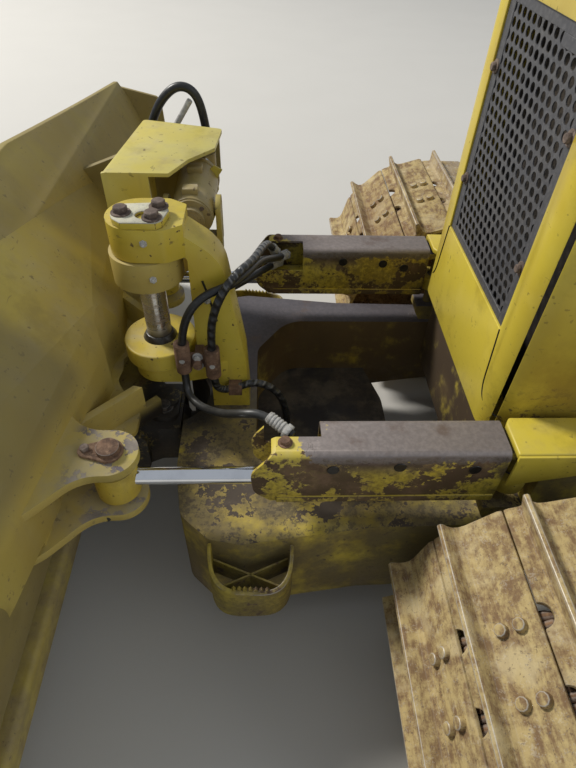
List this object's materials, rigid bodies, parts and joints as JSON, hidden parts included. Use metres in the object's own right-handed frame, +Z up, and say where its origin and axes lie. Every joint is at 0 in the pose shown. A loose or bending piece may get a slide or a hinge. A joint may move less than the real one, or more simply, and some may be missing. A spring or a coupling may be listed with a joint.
{
  "type": "crawler bulldozer",
  "caption": "Crawler bulldozer with a power-angle-tilt blade on a C-frame, covered angle cylinders, wide tracks and an enclosed cab.",
  "frame": {"origin": "on the ground, under the middle of the machine's box, blade and drawbar included", "axes": "+X forward to the blade, +Y to the machine's left, +Z up"},
  "size_m": [5.15, 3.3, 3.054],
  "materials": {
    "yellow_paint": "worn ochre-yellow paint with rust chips",
    "track_steel": "rust-brown track steel, grey where it wears",
    "black_paint": "satin black paint",
    "chrome_rod": "polished cylinder rod",
    "worn_steel": "bare worn steel",
    "glass": "tinted safety glass",
    "rubber_hose": "black hydraulic hose",
    "seat_cover": "dark grey seat fabric",
    "engine_iron": "dusty cast iron",
    "clamp_rust": "rust-brown clamp"
  },
  "bodies": {
    "chassis": {"air_precleaner": "black_paint", "cab_frame": "yellow_paint", "cab_glass": "glass", "cab_roof": "yellow_paint", "dashboard": "black_paint", "drawbar": "yellow_paint", "engine_block": "engine_iron", "exhaust_stack": "black_paint", "fender_left": "yellow_paint", "fender_right": "yellow_paint", "fuel_tank": "yellow_paint", "grille": "black_paint", "hood": "yellow_paint", "idler_left": "track_steel", "idler_right": "track_steel", "main_frame": "yellow_paint", "nose": "yellow_paint", "radiator": "engine_iron", "seat": "seat_cover", "seat_base": "black_paint", "sprocket_left": "track_steel", "sprocket_right": "track_steel", "track_frame_left": "yellow_paint", "track_frame_right": "yellow_paint", "track_left": "track_steel", "track_right": "track_steel", "work_lamps": "black_paint"},
    "c_frame": {"c_frame": "yellow_paint", "tower": "yellow_paint", "swing_pin": "chrome_rod", "boarding_step_left": "yellow_paint", "boarding_step_right": "yellow_paint", "hose_clamps": "clamp_rust", "hose_cross": "rubber_hose", "hose_rear": "rubber_hose", "hose_wrapped": "rubber_hose"},
    "blade_swivel": {"blade_swivel": "yellow_paint"},
    "blade": {"mouldboard": "yellow_paint", "cutting_edge": "worn_steel", "blade_frame": "yellow_paint", "tilt_guard": "yellow_paint"},
    "tilt_barrel": {"tilt_barrel": "yellow_paint"},
    "tilt_rod": {"tilt_rod": "chrome_rod"},
    "angle_link_left": {"angle_link_left": "worn_steel"},
    "angle_barrel_left": {"angle_barrel_left": "yellow_paint", "angle_cover_left": "yellow_paint"},
    "angle_rod_left": {"angle_rod_left": "chrome_rod"},
    "lift_barrel_left": {"lift_barrel_left": "yellow_paint"},
    "lift_rod_left": {"lift_rod_left": "chrome_rod"},
    "cab_door_left": {"cab_door_left": "yellow_paint", "door_glass_left": "glass"},
    "angle_link_right": {"angle_link_right": "worn_steel"},
    "angle_barrel_right": {"angle_barrel_right": "yellow_paint", "angle_cover_right": "yellow_paint"},
    "angle_rod_right": {"angle_rod_right": "chrome_rod"},
    "lift_barrel_right": {"lift_barrel_right": "yellow_paint"},
    "lift_rod_right": {"lift_rod_right": "chrome_rod"},
    "cab_door_right": {"cab_door_right": "yellow_paint", "door_glass_right": "glass"}
  },
  "joints": [
    {"name": "blade_lift", "type": "hinge", "parent": "chassis", "child": "c_frame", "pos_m": [-0.775, 0, 0.43], "axis": [0, -1, 0], "range_deg": [-10.7, 20.6]},
    {"name": "blade_angle", "type": "hinge", "parent": "c_frame", "child": "blade_swivel", "pos_m": [1.925, 0, 0.43], "axis": [0, 0, 1], "range_deg": [-25, 25]},
    {"name": "blade_tilt", "type": "hinge", "parent": "blade_swivel", "child": "blade", "pos_m": [1.925, 0, 0.43], "axis": [1, 0, 0], "range_deg": [-6.5, 6.5]},
    {"name": "tilt_barrel_swing", "type": "hinge", "parent": "blade_swivel", "child": "tilt_barrel", "pos_m": [1.81, -0.26, 1.185], "axis": [1, 0, 0], "range_deg": [-11.4, 11.4]},
    {"name": "tilt_rod_slide", "type": "slide", "parent": "tilt_barrel", "child": "tilt_rod", "axis": [0, -1, 0], "range_m": [-0.087, 0.087]},
    {"name": "angle_link_tilt_left", "type": "hinge", "parent": "c_frame", "child": "angle_link_left", "pos_m": [0.87, 0.5, 0.76], "axis": [0, -0.8346, -0.5508], "range_deg": [-3.6, 3.6], "deforming": ["hose_cross"]},
    {"name": "angle_barrel_yaw_left", "type": "hinge", "parent": "angle_link_left", "child": "angle_barrel_left", "pos_m": [0.87, 0.5, 0.76], "axis": [0, 0, 1], "range_deg": [-1.2, 1.2]},
    {"name": "angle_rod_slide_left", "type": "slide", "parent": "angle_barrel_left", "child": "angle_rod_left", "axis": [1, 0, 0], "range_m": [-0.216, 0.216]},
    {"name": "lift_barrel_swing_left", "type": "hinge", "parent": "chassis", "child": "lift_barrel_left", "pos_m": [0.3, 0.498, 1.3], "axis": [0, -1, 0], "range_deg": [-2.6, 4.9]},
    {"name": "lift_rod_slide_left", "type": "slide", "parent": "lift_barrel_left", "child": "lift_rod_left", "axis": [0.3271, 0, -0.945], "range_m": [-0.472, 0.247]},
    {"name": "cab_door_left_hinge", "type": "hinge", "parent": "chassis", "child": "cab_door_left", "pos_m": [-1.394, 0.638, 2], "axis": [0, 0, 1], "range_deg": [0, 80]},
    {"name": "angle_link_tilt_right", "type": "hinge", "parent": "c_frame", "child": "angle_link_right", "pos_m": [0.87, -0.5, 0.76], "axis": [0, 0.8346, -0.5508], "range_deg": [-3.6, 3.6], "deforming": ["hose_wrapped", "hose_rear"]},
    {"name": "angle_barrel_yaw_right", "type": "hinge", "parent": "angle_link_right", "child": "angle_barrel_right", "pos_m": [0.87, -0.5, 0.76], "axis": [0, 0, 1], "range_deg": [-1.2, 1.2]},
    {"name": "angle_rod_slide_right", "type": "slide", "parent": "angle_barrel_right", "child": "angle_rod_right", "axis": [1, 0, 0], "range_m": [-0.216, 0.216]},
    {"name": "lift_barrel_swing_right", "type": "hinge", "parent": "chassis", "child": "lift_barrel_right", "pos_m": [0.3, -0.498, 1.3], "axis": [0, -1, 0], "range_deg": [-2.6, 4.9]},
    {"name": "lift_rod_slide_right", "type": "slide", "parent": "lift_barrel_right", "child": "lift_rod_right", "axis": [0.3271, 0, -0.945], "range_m": [-0.472, 0.247]},
    {"name": "cab_door_right_hinge", "type": "hinge", "parent": "chassis", "child": "cab_door_right", "pos_m": [-1.394, -0.638, 2], "axis": [0, 0, -1], "range_deg": [0, 80]}
  ],
  "couplings": [
    {"joint": "tilt_barrel_swing", "follows": "blade_tilt", "ratio": 1.718},
    {"joint": "tilt_rod_slide", "follows": "blade_tilt", "m_per_rad": 0.748},
    {"joint": "angle_link_tilt_left", "follows": "blade_tilt", "ratio": 0.5325},
    {"joint": "angle_barrel_yaw_left", "follows": "blade_angle", "ratio": 0.044},
    {"joint": "angle_rod_slide_left", "follows": "blade_angle", "m_per_rad": -0.4868},
    {"joint": "lift_barrel_swing_left", "follows": "blade_lift", "ratio": 0.23},
    {"joint": "lift_rod_slide_left", "follows": "blade_lift", "m_per_rad": -1.302},
    {"joint": "angle_link_tilt_right", "follows": "blade_tilt", "ratio": 0.5325},
    {"joint": "angle_barrel_yaw_right", "follows": "blade_angle", "ratio": 0.044},
    {"joint": "angle_rod_slide_right", "follows": "blade_angle", "m_per_rad": 0.4868},
    {"joint": "lift_barrel_swing_right", "follows": "blade_lift", "ratio": 0.23},
    {"joint": "lift_rod_slide_right", "follows": "blade_lift", "m_per_rad": -1.302}
  ]
}
